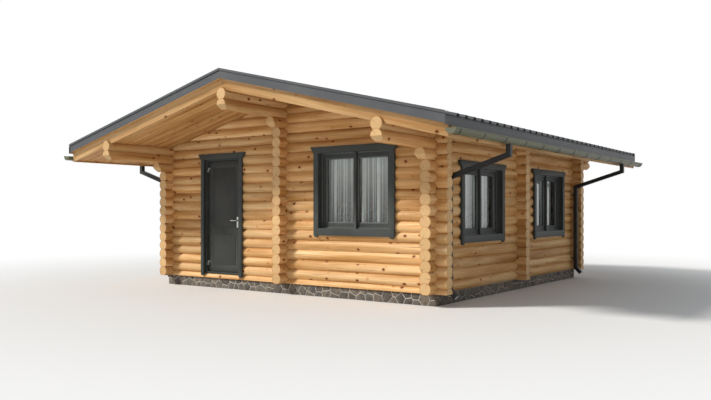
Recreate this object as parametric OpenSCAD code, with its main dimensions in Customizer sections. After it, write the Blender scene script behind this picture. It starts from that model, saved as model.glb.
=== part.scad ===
// Round-log cabin with a low gable roof, an outward-opening door and curtained windows.
// Millimetres, Z up, ridge along Y, front wall facing -Y, origin under the middle of the roof.

/* [Part] */
// Which sub-part to draw

/* [Log walls] */
// Distance between the axes of the two side walls
wall_w = 5500; // [4000:10:7000]
// Distance between the axes of the front and rear walls
wall_l = 5500; // [4600:10:7000]
// Diameter of a log
log_d = 180; // [150:1:220]
// Height gained by each course of logs
course = 156; // [130:1:190]
// Length of a log end past the wall it crosses
log_end = 250; // [180:1:320]
// Length of a corbel end past the wall it crosses
corbel_end = 400; // [330:1:600]
// Number of courses in a side wall, wall plates included
side_courses = 15; // [15:1:17]
// Number of courses from the wall plate up to the ridge purlin
gable_courses = 4; // [3:1:6]
// Room left in grooves, saddles and seats between pieces
fit = 0.4; // [0.3:0.05:0.6]

/* [Plinth and floor] */
// Height of the stone plinth
plinth_h = 173; // [120:1:300]
// Thickness of the plinth wall
plinth_t = 200; // [180:1:260]
// How far the plinth face stands out from the wall axis
plinth_out = 60; // [40:1:80]
// Thickness of the floor boarding
floor_t = 77; // [60:1:85]

/* [Roof] */
// Roof overhang in front of the front wall axis
front_over = 1500; // [1000:10:1800]
// Roof overhang behind the rear wall axis
rear_over = 1000; // [700:10:1400]
// Roof overhang past the side wall axis
side_over = 1000; // [800:10:1200]
// Extra drop of the roof between ridge purlin and wall plate
plate_cut = 50; // [20:1:60]
// Depth planed off the top of the ridge purlin
ridge_cut = 5; // [3:1:20]
// Thickness of the boarded roof panel
deck_t = 237; // [180:1:260]
// Height of a rib of the roof sheet
rib_h = 35; // [20:1:45]
// Spacing of the ribs
rib_pitch = 220; // [180:1:300]
// Width of a rib at its foot
rib_foot = 80; // [60:1:100]
// Width of a rib at its top
rib_top = 35; // [20:1:50]
// Thickness of sheet metal
sheet_t = 2; // [1:0.1:3]
// Width of each wing of the ridge cap
ridge_wing = 150; // [100:1:250]
// Height of the metal verge face
verge_h = 150; // [110:1:160]
// Height of the folded cap along the top of the verge
verge_cap_h = 34; // [20:1:45]
// How far the cap stands in front of the verge face
verge_cap_out = 14; // [8:1:25]
// Width of the verge flange that lies on the roof
verge_flange = 110; // [80:1:160]
// Set-back of the barge board behind the verge
barge_back = 80; // [60:1:120]
// Thickness of the barge board
barge_t = 30; // [20:1:40]
// How far the barge board hangs below the boarding
barge_drop = 20; // [10:1:40]
// How far the purlin ends stand in front of the barge board
purlin_proud = 35; // [20:1:50]
// Thickness of the wooden eave board
eave_board_t = 23; // [18:1:30]
// Height of the metal strip on the eave board
eave_strip_h = 123; // [80:1:130]
// How far the roof sheet reaches past the eave strip
sheet_over = 30; // [10:1:50]

/* [Rainwater] */
// Diameter of the half-round gutter
gutter_d = 140; // [120:1:160]
// Wall thickness of gutters and pipes
gutter_t = 2; // [1.5:0.1:3]
// Depth of the gutter rim below the top of the eave board
gutter_drop = 168; // [150:1:190]
// Diameter of the rolled rim of the gutter
bead_d = 16; // [12:1:20]
// Number of brackets on each gutter
bracket_count = 13; // [8:1:16]
// Width of a bracket strap
strap_w = 25; // [20:1:30]
// Thickness of a bracket strap
strap_t = 4; // [3:0.5:5]
// Width of a square downpipe
pipe_d = 68; // [60:1:80]
// Distance of the downpipe axis from the wall axis it runs down
pipe_off = 180; // [165:1:240]
// Gap between a front pipe clip and the log ends beside it
clip_clear = 4; // [3:0.5:10]
// Distance of the rear downpipe's axis from the rear wall axis
pipe_rear = 180; // [165:1:220]
// Length of the straight outlet under the gutter
outlet_h = 140; // [120:1:170]
// Drop of the slanting length of the downpipe
offset_drop = 280; // [220:1:320]
// Height of the mouth of the shoe above the ground
shoe_h = 120; // [90:1:160]
// Reach of the shoe away from the wall
shoe_reach = 105; // [90:1:130]
// Width of a pipe clip
clip_w = 30; // [20:1:40]

/* [Door] */
// Distance of the door's middle from the cabin's middle
door_off = 1395; // [1100:5:1400]
// Width of the door opening in the logs
door_w = 870; // [820:5:960]
// Height of the threshold's underside
door_sill = 250; // [245:1:262]
// Height of the top of the door opening
door_head = 2250; // [2150:5:2280]
// Width of the door's casing boards
door_casing_w = 72; // [60:1:110]
// Thickness of the door frame
frame_t = 40; // [35:1:50]
// Thickness of the threshold
threshold_t = 30; // [20:1:40]
// Depth of the stop behind the leaf
stop_w = 15; // [12:1:20]
// Thickness of the door leaf
leaf_t = 45; // [40:1:55]
// Running gap around the leaf
leaf_gap = 5; // [5:0.5:8]
// How far the leaf's outer face stands in front of the wall axis
leaf_out = 35; // [25:1:40]
// Height of the lever's axis above the floor
lever_h = 925; // [880:5:1000]
// Distance of the lever's axis from the leaf's edge
backset = 60; // [50:1:80]
// Length of the lever
lever_l = 120; // [100:1:140]
// Diameter of the lever bar
lever_d = 20; // [16:1:22]
// Distance of the lever bar from the plate
lever_out = 45; // [40:1:60]
// Height of the lever plate
plate_h = 180; // [160:5:240]
// Width of the lever plate
plate_w = 34; // [30:1:50]
// Thickness of the lever plate
plate_t = 8; // [6:1:10]
// Radius of a hinge knuckle
knuckle_r = 9; // [8:0.5:11]
// Height of a hinge
hinge_h = 76; // [60:1:120]
// Diameter of a hinge pin
pin_d = 8; // [6:0.5:9]

/* [Windows] */
// Distance of the front window's middle from the cabin's middle
window_off = 1411; // [1100:1:1420]
// Width of a window between its casing boards
win_w = 1315; // [1100:5:1340]
// Height of the front window's sill
front_sill = 1070; // [950:5:1150]
// Height of the front window's head
front_head = 2235; // [2100:5:2250]
// Height of the side windows' sills
side_sill = 974; // [900:1:1100]
// Height of the side windows' heads
side_head = 1992; // [1900:1:2060]
// How far the opening in the logs passes behind the casing
casing_lap = 30; // [20:1:40]
// Width of a casing board
casing_w = 92; // [80:1:105]
// Thickness of a casing board
casing_t = 45; // [30:1:50]
// Distance of the casing's seat from the wall axis
casing_seat = 75; // [65:1:82]
// Height of the casing's head board
head_h = 96; // [60:1:110]
// How far the head board reaches past the side boards
head_out = 70; // [40:1:80]
// How far the side boards run below the sill
leg_drop = 140; // [120:1:160]
// Height of the sill board
sill_h = 110; // [80:1:115]
// Cut corner at the foot of a side board
foot_cut = 30; // [20:1:40]
// Thickness of the window's lining
lining_t = 28; // [24:1:35]
// Width of the sash around the panes
sash_w = 83; // [60:1:95]
// Width of the middle post
post_w = 50; // [40:1:80]
// Distance of the sash's face behind the casing's face
sash_in = 110; // [90:1:115]
// Depth of the sash
sash_t = 55; // [46:1:65]
// How far the middle post stands in front of the sash
post_out = 40; // [20:1:50]
// Distance of the panes behind the sash's face
pane_in = 35; // [20:1:40]
// Thickness of the glass
glass_t = 6; // [4:1:10]
// Gap between two curtains of a window
curtain_gap = 6; // [4:1:40]
// Depth of a hanging curtain
curtain_t = 40; // [24:1:50]
// Height of the curtain rail
rail_h = 18; // [14:1:24]
// Reach of the curtain rail into the room
rail_out = 60; // [50:1:80]

/* [Hidden] */

$fn = 32;

// Overrun of a cut past the faces it opens
over = 20;

// Plan
roof_l = front_over + wall_l + rear_over;
wall_x = wall_w / 2;
y_front = front_over - roof_l / 2;
y_rear = y_front + wall_l;
y_mid = (y_front + y_rear) / 2;
eave_x = wall_x + side_over;

// Logs
log_r = log_d / 2;
groove_r = log_r + fit;
plate_n = side_courses - 2;
corbel_n = side_courses - 3;
ridge_n = side_courses - 2 + gable_courses;
head_m = ceil((door_head - log_r - plinth_h) / course);

function zx(m) = plinth_h + m * course;
function zy(n) = plinth_h + n * course + course / 2;

// Roof
slope = (gable_courses * course + plate_cut) / wall_x;
pitch = atan(slope);
soffit_z = zy(ridge_n + 1) + (log_r - ridge_cut) / cos(pitch);
deck_v = deck_t / cos(pitch);
deck_x = eave_x - sheet_t - eave_board_t;
deck_front = -roof_l / 2 + barge_back + barge_t;
deck_rear = roof_l / 2 - barge_back - barge_t;
purlin_front = deck_front - barge_t - purlin_proud;
purlin_rear = deck_rear + barge_t + purlin_proud;
deck_top = soffit_z + deck_v;
verge_x = eave_x - sheet_t;
metal_v = (rib_h + sheet_t + fit) / cos(pitch);
verge_top = deck_top + metal_v + (sheet_t + fit) / cos(pitch);

function soffit(x) = soffit_z - slope * abs(x);

// Rainwater
gutter_r = gutter_d / 2;
gutter_x = eave_x + fit + strap_t + gutter_r;
gutter_z = soffit(eave_x) + deck_v - gutter_drop;
pipe_r = pipe_d / 2;
pipe_x = wall_x + pipe_off;
pipe_ys = [y_front + log_r + clip_clear + strap_t + fit + pipe_r, y_rear - pipe_rear];
outlet_z = gutter_z - gutter_r;
bend_z = outlet_z - outlet_h;
wall_bend_z = bend_z - offset_drop;
shoe_z = shoe_h + shoe_reach;

// Door, in the front wall's own frame with the wall axis at y zero
door_x = -door_off;
door_top = door_head;
door_foot = plinth_h + course / 5;
door_lap = casing_lap / 2;
door_open = door_w - door_lap;
frame_in = door_w / 2 - fit - frame_t;
leaf_w = 2 * frame_in - 2 * leaf_gap;
leaf_z0 = door_sill + threshold_t + leaf_gap;
leaf_z1 = door_top - fit - frame_t - leaf_gap;
leaf_x0 = -leaf_w / 2;
pin_gap = 2;
pin_x = -frame_in + knuckle_r + pin_gap;
pin_y = -leaf_out - knuckle_r;
hinge_inset_share = 0.075;
hinge_zs = [leaf_z0 + (leaf_z1 - leaf_z0) * hinge_inset_share - hinge_h / 2,
  leaf_z1 - (leaf_z1 - leaf_z0) * hinge_inset_share - hinge_h / 2];
hinge_leaf_t = 3;
hinge_leaf_l = 42;
pin_fit = 0.3;
knuckle_gap = 1;
lever_x = leaf_w / 2 - backset;
lever_z = door_sill + lever_h;
hub_rim = 1;
hub_d = lever_d + 2 * hub_rim;
hub_fit = 0.5;
spindle_d = lever_d / 2;
spindle_room = 10;

// Windows, in the same kind of frame
rough_w = win_w + 2 * casing_lap;
lining_in = rough_w / 2 - fit - lining_t;
sash_y = sash_in - casing_seat - casing_t;
post_y = sash_y - post_out;
pane_w = lining_in - sash_w - post_w / 2;
pane_x = post_w / 2 + pane_w / 2;
pane_y = sash_y + pane_in;
curtain_y = log_r + rail_out - curtain_t;
side_window_ys = [y_front + wall_l / 4, y_front + wall_l * 3 / 4];
front_window_x = window_off;

// A round bar along X
module x_bar(y, z, x0, x1, r) translate([x0, y, z]) rotate([0, 90, 0]) cylinder(r = r, h = x1 - x0);

// A round bar along Y
module y_bar(x, z, y0, y1, r) translate([x, y0, z]) rotate([-90, 0, 0]) cylinder(r = r, h = y1 - y0);

// A box between two corners
module block(a, b) translate(a) cube(b - a);

// A flat outline in X and Z, given thickness from y0 to y1
module upright(y0, y1) translate([0, y1, 0]) rotate([90, 0, 0]) linear_extrude(y1 - y0) children();

// Section of a log: a half-moon groove over the log below, or a flat bed on the plinth
module log_section(bed) difference() {
  circle(r = log_r);
  if (bed < log_r) translate([-log_d, -bed - log_d]) square([2 * log_d, log_d]);
  else translate([0, -course]) circle(r = groove_r);
}

// One log along X in course m, saddled over the logs along Y at the places given
module x_log(y, m, x0, x1, crossings) difference() {
  translate([x0, y, zx(m)]) rotate([90, 0, 90]) linear_extrude(x1 - x0) log_section(zx(m) - plinth_h);
  if (m > 0) for (x = crossings) y_bar(x, zy(m - 1), y - log_d, y + log_d, groove_r);
}

// One log along Y in course n, saddled over the logs along X at the places given
module y_log(x, n, y0, y1, crossings) difference() {
  translate([x, y1, zy(n)]) rotate([90, 0, 0]) linear_extrude(y1 - y0) log_section(zy(n) - plinth_h);
  for (y = crossings) x_bar(y, zx(n), x - log_d, x + log_d, groove_r);
}

// The slanting cut under the end of a corbel or a lower purlin; out is -1 to the front, 1 to the rear
module end_cut(x, n, y, out) {
  translate([x - log_d, 0, 0]) rotate([90, 0, 90]) linear_extrude(2 * log_d)
    polygon([[y + out * over, zy(n)], [y, zy(n)], [y - out * log_d, zy(n) - log_d],
      [y + out * over, zy(n) - log_d]]);
}

// Everything above the underside of the roof
module above_roof(y0, y1) {
  reach = eave_x + log_d;
  upright(y0, y1) polygon([[-reach, soffit(reach) - fit], [0, soffit(0) - fit], [reach, soffit(reach) - fit],
    [reach, soffit(0) + log_d], [-reach, soffit(0) + log_d]]);
}

// Frames of the walls: the children face -Y at the wall axis
module on_front(x) translate([x, y_front, 0]) children();
module on_right(y) translate([wall_x, y, 0]) rotate([0, 0, 90]) children();
module on_left(y) translate([-wall_x, y, 0]) rotate([0, 0, -90]) children();

// Right half of a casing's edge: cut foot, then up to the slanting end of the head board
function casing_edge(w, leg, foot, under, head, g) =
  let (a = w / 2, b = a + leg, cut = min(foot_cut, leg / 3)) [
    [a - g, under - g], [a - g, foot + cut - g], [a + cut, foot - g], [b - cut, foot - g],
    [b + g, foot + cut - g], [b + g, head - g], [b + head_out + g, head + head_h + g]];

// Casing boards around an opening, open between the side boards below the height given
module casing_outline(w, leg, foot, under, head, g) {
  half = casing_edge(w, leg, foot, under, head, g);
  polygon(concat(half, backwards([for (p = half) [-p[0], p[1]]])));
}

module window_casing(sill, head)
  upright(-casing_seat - casing_t, -casing_seat) difference() {
    casing_outline(win_w, casing_w, sill - leg_drop, sill - sill_h, head, 0);
    translate([-win_w / 2, sill]) square([win_w, head - sill]);
  }

// Room for one window in a log wall, with the seat planed for its casing
module window_cut(sill, head) {
  block([-rough_w / 2, -log_d, sill - casing_lap], [rough_w / 2, log_d, head + casing_lap]);
  upright(-log_d, -casing_seat + fit)
    casing_outline(win_w, casing_w, sill - leg_drop, sill - sill_h, head, fit);
}

// Lining, sash, proud middle post and curtain rail as one frame
module window_frame(sill, head) {
  z0 = sill - casing_lap + fit;
  z1 = head + casing_lap - fit;
  half = rough_w / 2 - fit;
  difference() {
    union() {
      block([-half, -casing_seat, z0], [half, log_r, z1]);
      block([-half, sash_y, z1 - rail_h], [half, log_r + rail_out, z1]);
    }
    block([-lining_in, -log_d, z0 + lining_t], [lining_in, post_y, z1 - lining_t]);
    block([-lining_in, sash_y + sash_t, z0 + lining_t], [lining_in, 2 * log_d, z1 - lining_t]);
    for (x = [-lining_in, post_w / 2])
      block([x, -log_d, z0 + lining_t], [x + lining_in - post_w / 2, sash_y, z1 - lining_t]);
    for (s = [-1, 1])
      translate([s * pane_x, 0, 0])
        block([-pane_w / 2, -log_d, z0 + lining_t + sash_w], [pane_w / 2, log_d, z1 - lining_t - sash_w]);
  }
}

module window_panes(sill, head) {
  z0 = sill - casing_lap + lining_t + sash_w + 2 * fit;
  z1 = head + casing_lap - lining_t - sash_w - 2 * fit;
  for (s = [-1, 1])
    translate([s * pane_x, pane_y, 0])
      block([-pane_w / 2 + fit, -glass_t / 2, z0], [pane_w / 2 - fit, glass_t / 2, z1]);
}

// Two gathered curtains hanging under the rail
module window_drapes(sill, head) {
  z0 = sill - casing_lap;
  z1 = head + casing_lap - fit - rail_h - fit;
  inner = curtain_gap / 2;
  outer = rough_w / 2 - fit;
  for (s = [-1, 1])
    block([s > 0 ? inner : -outer, curtain_y, z0], [s > 0 ? outer : -inner, curtain_y + curtain_t, z1]);
}

// Stone plinth under the four walls
module plinth() color([0.40, 0.39, 0.38]) {
  ox = wall_x + plinth_out;
  for (y = [y_front - plinth_out, y_rear + plinth_out - plinth_t])
    block([-ox, y, 0], [ox, y + plinth_t, plinth_h]);
  for (x = [-ox, ox - plinth_t])
    block([x, y_front - plinth_out + plinth_t + fit, 0],
      [x + plinth_t, y_rear + plinth_out - plinth_t - fit, plinth_h]);
}

// Boarded floor on the plinth's inner ledge
module floor() color([0.70, 0.55, 0.38])
  block([-wall_x + groove_r, y_front + groove_r, plinth_h],
    [wall_x - groove_r, y_rear - groove_r, plinth_h + floor_t]);

end_x = wall_x + log_end;
side_xs = [-wall_x, 0, wall_x];

module door_cut() on_front(door_x) {
  block([-door_w / 2, -log_d, door_sill], [door_w / 2, log_d, door_top]);
  upright(-log_d, -casing_seat + fit)
    casing_outline(door_open, door_casing_w, door_foot, door_top - door_lap, door_top - door_lap, fit);
}

module front_sill_log() color([0.80, 0.60, 0.36]) difference() {
  x_log(y_front, 0, -end_x, end_x, []);
  door_cut();
}

module front_wall_left() color([0.80, 0.60, 0.36]) difference() {
  union() for (m = [1 : head_m - 1]) x_log(y_front, m, -end_x, door_x - door_w / 2, [-wall_x]);
  door_cut();
}

module front_wall_right() color([0.80, 0.60, 0.36]) difference() {
  union() for (m = [1 : head_m - 1]) x_log(y_front, m, door_x + door_w / 2, end_x, [0, wall_x]);
  door_cut();
  on_front(front_window_x) window_cut(front_sill, front_head);
}

// Gable logs: long ones up to the plates, then shorter ones under the slopes
module gable_logs(y) {
  difference() {
    union() for (m = [head_m : ridge_n + 2]) {
      half = m > side_courses - 1 ? wall_x : end_x;
      x_log(y, m, -half, half, m > side_courses ? [0] : side_xs);
    }
    above_roof(y - log_d, y + log_d);
  }
}

module front_gable() color([0.82, 0.62, 0.38]) difference() {
  gable_logs(y_front);
  door_cut();
  on_front(front_window_x) window_cut(front_sill, front_head);
}

module rear_wall() color([0.80, 0.60, 0.36])
  for (m = [0 : head_m - 1]) x_log(y_rear, m, -end_x, end_x, side_xs);

module rear_gable() color([0.82, 0.62, 0.38]) gable_logs(y_rear);

// Side wall logs up to the corbels
module side_logs(x) {
  for (n = [0 : corbel_n - 1]) y_log(x, n, y_front - log_end, y_rear + log_end, [y_front, y_mid, y_rear]);
  difference() {
    y_log(x, corbel_n, y_front - corbel_end, y_rear + corbel_end, [y_front, y_mid, y_rear]);
    end_cut(x, corbel_n, y_front - corbel_end, -1);
    end_cut(x, corbel_n, y_rear + corbel_end, 1);
  }
}

module left_wall() color([0.78, 0.58, 0.35]) difference() {
  side_logs(-wall_x);
  for (y = side_window_ys) on_left(y) window_cut(side_sill, side_head);
}

module right_wall() color([0.78, 0.58, 0.35]) difference() {
  side_logs(wall_x);
  for (y = side_window_ys) on_right(y) window_cut(side_sill, side_head);
}

// Short logs that lock the middle of a gable wall, topped by a corbel under the ridge purlins
module gable_ties(y, out) {
  inner = y - out * log_r;
  for (n = [0 : ridge_n - 1]) {
    tip = y + out * (n < ridge_n - 1 ? log_end : corbel_end);
    difference() {
      y_log(0, n, min(inner, tip), max(inner, tip), [y]);
      if (n == ridge_n - 1) end_cut(0, n, tip, out);
    }
  }
}

module front_tie_logs() color([0.84, 0.66, 0.42]) gable_ties(y_front, -1);
module rear_tie_logs() color([0.84, 0.66, 0.42]) gable_ties(y_rear, 1);

// Short logs that lock the middle of a side wall
module side_ties(out) {
  inner = out * (wall_x - log_r);
  tip = out * end_x;
  difference() {
    union() for (m = [0 : side_courses - 1])
      x_log(y_mid, m, min(inner, tip), max(inner, tip), [out * wall_x]);
    above_roof(y_mid - log_d, y_mid + log_d);
  }
}

module left_tie_logs() color([0.84, 0.66, 0.42]) side_ties(-1);
module right_tie_logs() color([0.84, 0.66, 0.42]) side_ties(1);

// A pair of purlins, the lower one cut back at its ends, planed where the roof lies on them
module purlin_pair(x, n, crossings) {
  difference() {
    union() for (k = [n, n + 1]) y_log(x, k, purlin_front, purlin_rear, crossings);
    end_cut(x, n, purlin_front, -1);
    end_cut(x, n, purlin_rear, 1);
    above_roof(deck_front - fit, deck_rear + fit);
  }
}

module left_plates() color([0.80, 0.60, 0.36]) difference() {
  purlin_pair(-wall_x, plate_n, [y_front, y_mid, y_rear]);
  for (y = side_window_ys) on_left(y) window_cut(side_sill, side_head);
}

module right_plates() color([0.80, 0.60, 0.36]) difference() {
  purlin_pair(wall_x, plate_n, [y_front, y_mid, y_rear]);
  for (y = side_window_ys) on_right(y) window_cut(side_sill, side_head);
}

module ridge_purlins() color([0.80, 0.60, 0.36]) purlin_pair(0, ridge_n, [y_front, y_rear]);

// A strip that follows the right-hand slope, from one height above the boarding's underside to another
module slope_strip(x0, x1, low, high)
  polygon([[x0, soffit(x0) + low], [x1, soffit(x1) + low], [x1, soffit(x1) + high], [x0, soffit(x0) + high]]);

// Boarding of one slope, cut around a side window that is set high enough to reach it
module roof_deck() difference() {
  upright(deck_front, deck_rear) slope_strip(fit, deck_x, 0, deck_v);
  for (y = side_window_ys) on_right(y) window_cut(side_sill, side_head);
}

module left_roof_deck() color([0.84, 0.68, 0.46]) mirror([1, 0, 0]) roof_deck();
module right_roof_deck() color([0.84, 0.68, 0.46]) roof_deck();

// Ribbed sheet, drawn across the ribs and drawn out down the slope
rib_count = floor((roof_l - 2 * sheet_t - rib_foot) / rib_pitch);
rib_y0 = -(rib_count - 1) * rib_pitch / 2;
sheet_y = roof_l / 2 - verge_cap_out - sheet_t - fit;
function rib_path(h) = concat([[-h, -sheet_y]],
  [for (i = [0 : rib_count - 1]) each [[-h, rib_y0 + i * rib_pitch - rib_foot / 2],
    [-h - rib_h + sheet_t, rib_y0 + i * rib_pitch - rib_top / 2],
    [-h - rib_h + sheet_t, rib_y0 + i * rib_pitch + rib_top / 2],
    [-h, rib_y0 + i * rib_pitch + rib_foot / 2]]], [[-h, sheet_y]]);
function backwards(p) = [for (i = [len(p) - 1 : -1 : 0]) p[i]];

module roof_sheet() {
  run = (eave_x + sheet_over) / cos(pitch);
  difference() {
    translate([0, 0, deck_top]) rotate([0, 90 + pitch, 0])
      translate([0, 0, -over]) linear_extrude(run + over)
        polygon(concat(rib_path(fit), backwards(rib_path(fit + sheet_t))));
    block([-log_d, -roof_l, 0], [fit, roof_l, verge_top + log_d]);
  }
}

module left_roof_sheet() color([0.30, 0.31, 0.33]) mirror([1, 0, 0]) roof_sheet();
module right_roof_sheet() color([0.30, 0.31, 0.33]) roof_sheet();

// Folded cap over the ridge, between the verges
module ridge_cap() color([0.30, 0.31, 0.33]) {
  low = deck_v + metal_v + fit;
  high = low + sheet_t / cos(pitch);
  wing_z = soffit(ridge_wing);
  upright(-roof_l / 2 + verge_flange + fit, roof_l / 2 - verge_flange - fit)
    polygon([[-ridge_wing, wing_z + low], [0, soffit_z + low], [ridge_wing, wing_z + low],
      [ridge_wing, wing_z + high], [0, soffit_z + high], [-ridge_wing, wing_z + high]]);
}

// Metal verges: a flange on the roof, a folded cap and a face over the barge board
module verge() {
  top = verge_top - soffit_z;
  leaf = sheet_t / cos(pitch);
  tip = -roof_l / 2;
  face = tip + verge_cap_out;
  union() {
    upright(tip, tip + verge_flange) slope_strip(fit, verge_x, top - leaf, top);
    upright(tip, tip + sheet_t) slope_strip(fit, verge_x, top - verge_cap_h, top);
    upright(tip, face + sheet_t) slope_strip(fit, verge_x, top - verge_cap_h, top - verge_cap_h + leaf);
    upright(face, face + sheet_t) slope_strip(fit, verge_x, top - verge_h, top - verge_cap_h + leaf);
  }
}

module verge_flashings() color([0.30, 0.31, 0.33])
  for (mx = [0, 1]) for (my = [0, 1]) mirror([mx, 0, 0]) mirror([0, my, 0]) verge();

// Barge boards with a thicker head behind the metal, notched around the purlin ends
module barge_board() {
  top = verge_top - soffit_z;
  difference() {
    union() {
      upright(deck_front - barge_t, deck_front - fit) slope_strip(fit, verge_x, -barge_drop, deck_v);
      upright(-roof_l / 2 + verge_cap_out + sheet_t + fit, deck_front - fit)
        slope_strip(fit, verge_x, top - verge_h + sheet_t, deck_v);
    }
    y_bar(wall_x, zy(plate_n + 1), purlin_front - over, deck_front + over, groove_r);
    y_bar(0, zy(ridge_n + 1), purlin_front - over, deck_front + over, groove_r);
    y_bar(wall_x, zy(plate_n), purlin_front - over, deck_front + over, groove_r);
    y_bar(0, zy(ridge_n), purlin_front - over, deck_front + over, groove_r);
  }
}

module barge_boards() color([0.72, 0.54, 0.34])
  for (mx = [0, 1]) for (my = [0, 1]) mirror([mx, 0, 0]) mirror([0, my, 0]) barge_board();

// Wooden eave boards with a metal strip on the upper part
eave_top = soffit(eave_x) + deck_v;
module eave_boards() color([0.72, 0.54, 0.34])
  for (mx = [0, 1]) mirror([mx, 0, 0])
    block([deck_x + fit, deck_front, eave_top - deck_v - barge_drop],
      [deck_x + eave_board_t, deck_rear, eave_top]);

module eave_strips() color([0.30, 0.31, 0.33])
  for (mx = [0, 1]) mirror([mx, 0, 0])
    block([verge_x + fit, -roof_l / 2, eave_top - eave_strip_h], [eave_x, roof_l / 2, eave_top]);

// Half-round gutter with stopped ends, a rolled rim and an outlet over each downpipe
module gutter() {
  half = roof_l / 2;
  difference() {
    union() {
      y_bar(gutter_x, gutter_z, -half, half, gutter_r);
      for (y = pipe_ys)
        translate([gutter_x, y, outlet_z - gutter_r / 2]) cylinder(r = pipe_r - gutter_t - fit, h = gutter_r);
    }
    y_bar(gutter_x, gutter_z, -half + gutter_t, half - gutter_t, gutter_r - gutter_t);
    block([gutter_x - gutter_d, -half - over, gutter_z],
      [gutter_x + gutter_d, half + over, gutter_z + gutter_d]);
    for (y = pipe_ys)
      translate([gutter_x, y, outlet_z - gutter_d])
        cylinder(r = pipe_r - 2 * gutter_t - fit, h = 2 * gutter_d);
  }
  y_bar(gutter_x + gutter_r - gutter_t / 2, gutter_z, -half, half, bead_d / 2);
}

module left_gutter() color([0.46, 0.48, 0.42]) mirror([1, 0, 0]) gutter();
module right_gutter() color([0.46, 0.48, 0.42]) gutter();

// Strap hooks that carry the gutters
module gutter_bracket(y) {
  ring = gutter_r + fit;
  back = eave_top - eave_strip_h - strap_t;
  difference() {
    y_bar(gutter_x, gutter_z, y - strap_w / 2, y + strap_w / 2, ring + strap_t);
    y_bar(gutter_x, gutter_z, y - strap_w, y + strap_w, ring);
    block([gutter_x - gutter_d, y - strap_w, gutter_z],
      [gutter_x + gutter_d, y + strap_w, gutter_z + gutter_d]);
    y_bar(gutter_x + gutter_r - gutter_t / 2, gutter_z, y - strap_w, y + strap_w, bead_d / 2 + fit);
  }
  block([deck_x + eave_board_t, y - strap_w / 2, gutter_z - gutter_r / 2],
    [gutter_x - ring, y + strap_w / 2, back]);
}

bracket_step = (roof_l - 2 * verge_flange - 2 * strap_w) / (bracket_count - 1);
module gutter_brackets() color([0.40, 0.42, 0.37])
  for (mx = [0, 1]) mirror([mx, 0, 0])
    for (i = [0 : bracket_count - 1]) gutter_bracket(-roof_l / 2 + verge_flange + strap_w + i * bracket_step);

// Downpipe run in X and Z: square tube with mitred bends
run_pts = [[gutter_x, outlet_z - fit], [gutter_x, bend_z], [pipe_x, wall_bend_z], [pipe_x, shoe_z],
  [pipe_x + shoe_reach, shoe_h]];
function ahead(a, b) = (b - a) / norm(b - a);
function stretched(p, e) = let (n = len(p) - 1)
  [for (i = [0 : n])
    i == 0 ? p[0] - e * ahead(p[0], p[1]) : i == n ? p[n] + e * ahead(p[n - 1], p[n]) : p[i]];
function across(a, b) = [a[1] - b[1], b[0] - a[0]] / norm(b - a);
function run_side(p, h) = let (n = len(p) - 1)
  [for (i = [0 : n])
    let (u = across(p[max(i - 1, 0)], p[max(i, 1)]), v = across(p[min(i, n - 1)], p[min(i + 1, n)]))
      p[i] + h * (u + v) / (1 + u * v)];
module run_outline(p, h) polygon(concat(run_side(p, h), backwards(run_side(p, -h))));

module downpipe(y) {
  bore = pipe_r - gutter_t;
  difference() {
    upright(y - pipe_r, y + pipe_r) run_outline(run_pts, pipe_r);
    upright(y - bore, y + bore) run_outline(stretched(run_pts, over), bore);
  }
}

module left_downpipes() color([0.34, 0.35, 0.35]) mirror([1, 0, 0])
  for (y = pipe_ys) downpipe(y);
module right_downpipes() color([0.34, 0.35, 0.35])
  for (y = pipe_ys) downpipe(y);

// Clips that hold the downpipes off the logs
clip_ns = [1, corbel_n - 3];
module pipe_clip(y, z) {
  ring = pipe_r + fit;
  rim = ring + strap_t;
  difference() {
    union() {
      block([pipe_x - rim, y - rim, z - clip_w / 2], [pipe_x + rim, y + rim, z + clip_w / 2]);
      x_bar(y, z, wall_x + log_r + fit, pipe_x - ring, clip_w / 2 - strap_t);
    }
    block([pipe_x - ring, y - ring, z - clip_w], [pipe_x + ring, y + ring, z + clip_w]);
  }
}

module pipe_clips() color([0.34, 0.35, 0.35])
  for (mx = [0, 1]) mirror([mx, 0, 0])
    for (y = pipe_ys) for (n = clip_ns) pipe_clip(y, zy(n));

// Door surround
module door_casing() color([0.29, 0.32, 0.32]) on_front(door_x)
  upright(-casing_seat - casing_t, -casing_seat)
    casing_outline(door_open, door_casing_w, door_foot, door_top - door_lap, door_top - door_lap, 0);

module door_frame() color([0.26, 0.28, 0.28]) on_front(door_x) difference() {
  half = door_w / 2 - fit;
  stop_y = -leaf_out + leaf_t + leaf_gap;
  z0 = door_sill + fit;
  z1 = door_top - fit;
  block([-half, -casing_seat, z0], [half, log_r, z1]);
  block([-frame_in, -log_d, door_sill + threshold_t], [frame_in, stop_y, z1 - frame_t]);
  block([-frame_in + stop_w, -log_d, door_sill + threshold_t],
    [frame_in - stop_w, log_d, z1 - frame_t - stop_w]);
}

// Hinge halves on the frame, each with its pin
module frame_hinges() color([0.55, 0.56, 0.56]) on_front(door_x)
  for (z = hinge_zs) {
    translate([pin_x, pin_y, z]) cylinder(r = knuckle_r, h = hinge_h / 2);
    translate([pin_x, pin_y, z]) cylinder(d = pin_d, h = hinge_h);
    block([-frame_in + fit, -casing_seat, z], [-frame_in + fit + hinge_leaf_t, pin_y, z + hinge_h / 2]);
    block([-frame_in + fit, pin_y - knuckle_r, z],
      [pin_x, pin_y - knuckle_r + hinge_leaf_t, z + hinge_h / 2]);
  }

// Door leaf with framed panels, bored for the spindle
panel_inset = 110;
panel_x0 = leaf_x0 + panel_inset;
panel_depth = 4;
panel_line = 10;
panel_share = 0.37;
module leaf_panel(x0, x1, z0, z1, y) difference() {
  block([x0, y - panel_depth, z0], [x1, y + panel_depth, z1]);
  block([x0 + panel_line, y - log_d, z0 + panel_line], [x1 - panel_line, y + log_d, z1 - panel_line]);
}

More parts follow.
